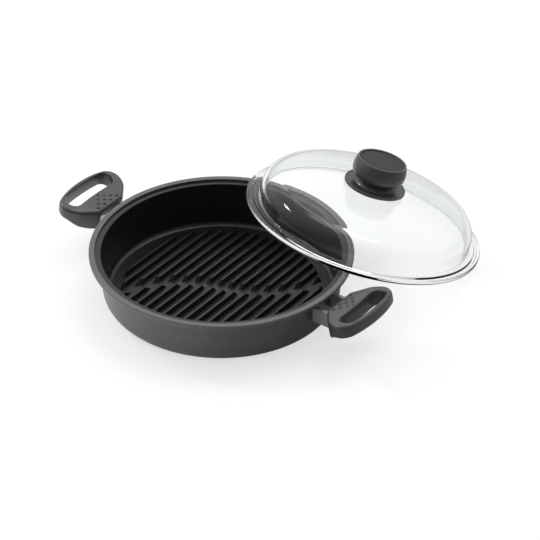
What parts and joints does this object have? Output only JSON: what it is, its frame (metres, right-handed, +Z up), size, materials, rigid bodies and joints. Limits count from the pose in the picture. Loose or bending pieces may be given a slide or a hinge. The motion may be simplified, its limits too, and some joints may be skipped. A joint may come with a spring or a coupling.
{
  "type": "steam grill pan",
  "caption": "Round ribbed steam grill pan with a non-stick coating, two loop handles and a domed glass lid with a knob, the lid leaning on the rim.",
  "frame": {"origin": "centre of the pan's flat base, on the table", "axes": "+Z up; +X through the right handle; the grill ribs run along Y; the lid leans off towards +X and +Y"},
  "size_m": [0.4291, 0.4421, 0.1249],
  "materials": {
    "coated_casting": "cast aluminium with a dark satin non-stick coating",
    "phenolic": "moulded black phenolic, satin",
    "cap_plastic": "dark grey cap, satin, bare",
    "lid_glass": "clear tempered glass with a faint green edge",
    "steel": "plain steel",
    "brass": "turned brass",
    "silicone": "dark silicone rubber"
  },
  "bodies": {
    "pan": {"pan_body": "coated_casting", "handle_left": "phenolic", "handle_right": "phenolic", "handle_washer_left": "steel", "handle_washer_right": "steel", "handle_screw_left": "steel", "handle_screw_right": "steel"},
    "lid": {"lid_glass": "lid_glass", "knob_base": "phenolic", "knob_grip": "phenolic", "knob_cap": "cap_plastic", "knob_insert": "brass", "knob_seal_upper": "silicone", "knob_seal_lower": "silicone", "knob_washer": "steel", "knob_screw": "steel"}
  },
  "joints": [
    {"name": "lid_lift", "type": "slide", "parent": "pan", "child": "lid", "axis": [0, 0, 1], "range_m": [0, 0.2]}
  ]
}
